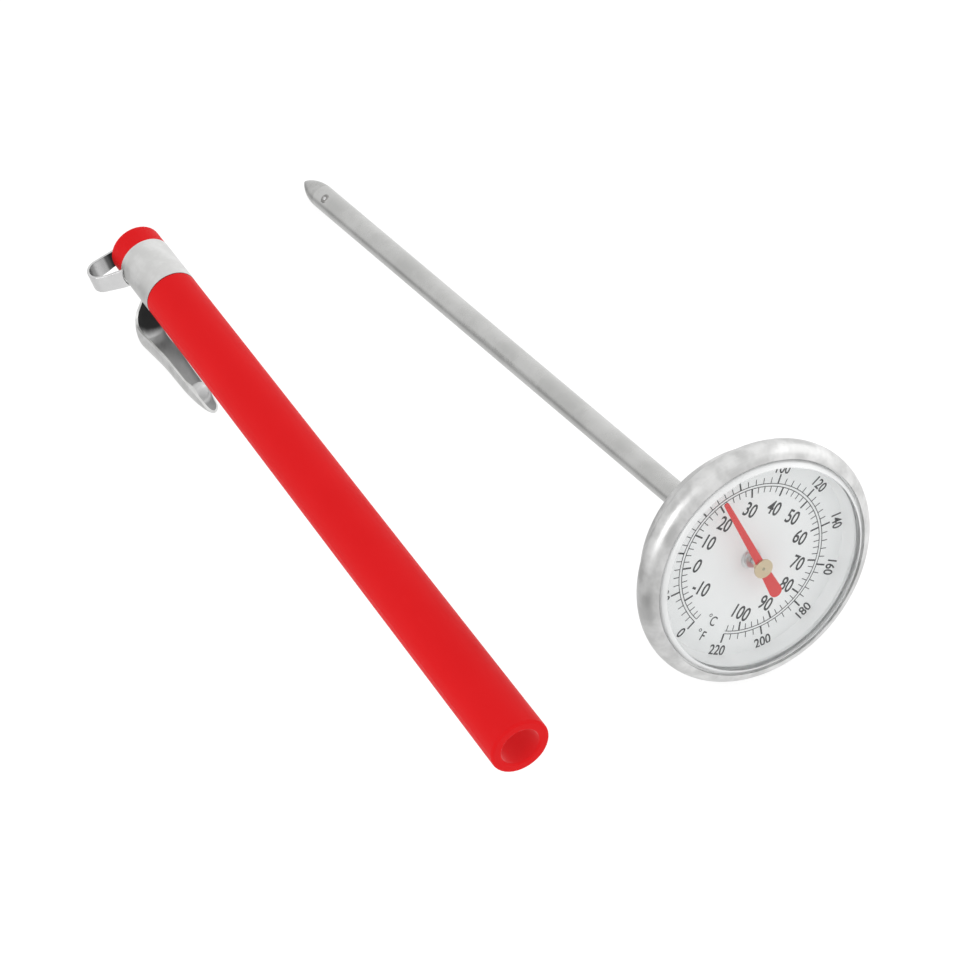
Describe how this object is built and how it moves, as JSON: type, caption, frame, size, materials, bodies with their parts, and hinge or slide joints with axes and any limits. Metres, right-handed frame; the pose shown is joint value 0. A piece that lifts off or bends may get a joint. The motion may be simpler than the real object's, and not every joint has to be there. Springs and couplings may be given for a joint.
{
  "type": "meat thermometer",
  "caption": "Bimetal dial probe thermometer with a pointed stem and a hex nut under its head, lying beside its tapered sheath with a pocket clip and a looped holder.",
  "frame": {"origin": "on the table, under the centre of the bounding box of the thermometer and its sheath", "axes": "+Z up from the table; +Y from the dial head towards the stem's tip, level with the table; +X to the right seen from above with +Y up, from the sheath towards the thermometer"},
  "size_m": [0.0673, 0.1442, 0.0397],
  "materials": {
    "case_steel": "satin",
    "stem_steel": "brushed",
    "bright_steel": "bright",
    "clip_chrome": "polished",
    "window": "clear",
    "seal": "matt",
    "dial_white": "satin",
    "spacer_white": "matt",
    "pointer_red": "satin",
    "hub_brass": "satin",
    "bimetal": "satin",
    "sheath_red": "satin gloss"
  },
  "bodies": {
    "head": {"case_cup": "case_steel", "bezel_ring": "case_steel", "lens": "window", "lens_gasket": "seal", "spacer_ring": "spacer_white", "dial_plate": "dial_white"},
    "stem": {"stem_tube": "stem_steel", "stem_tip": "stem_steel", "stem_hub": "case_steel", "friction_washer": "bright_steel", "calibration_nut": "case_steel", "upper_guide_bush": "bright_steel", "lower_guide_bush": "hub_brass", "helix_anchor": "hub_brass", "bimetal_helix": "bimetal"},
    "pointer": {"spindle": "bright_steel", "pointer_hub": "hub_brass", "pointer": "pointer_red"},
    "sheath": {"sheath_tube": "sheath_red", "clip_band": "clip_chrome", "clip_loop": "clip_chrome"},
    "clip": {"clip_blade": "clip_chrome"}
  },
  "joints": [
    {"name": "calibration_turn", "type": "hinge", "parent": "head", "child": "stem", "pos_m": [0.01365, -0.0657, 0.01973], "axis": [0, 0.9912, -0.1327], "continuous": true},
    {"name": "pointer_turn", "type": "hinge", "parent": "stem", "child": "pointer", "pos_m": [0.01365, -0.0657, 0.01973], "axis": [0, 0.9912, -0.1327], "range_deg": [-103.5, 226.5], "stiffness_Nm_per_rad": 0.0002},
    {"name": "sheath_slide", "type": "slide", "parent": "head", "child": "sheath", "axis": [0.0375, 0.9987, 0.0347], "range_m": [0, 0.135]},
    {"name": "clip_flex", "type": "hinge", "parent": "sheath", "child": "clip", "pos_m": [-0.02631, 0.05054, 0.00543], "axis": [0.8746, -0.016, -0.4845], "range_deg": [0, 8], "stiffness_Nm_per_rad": 0.5}
  ]
}
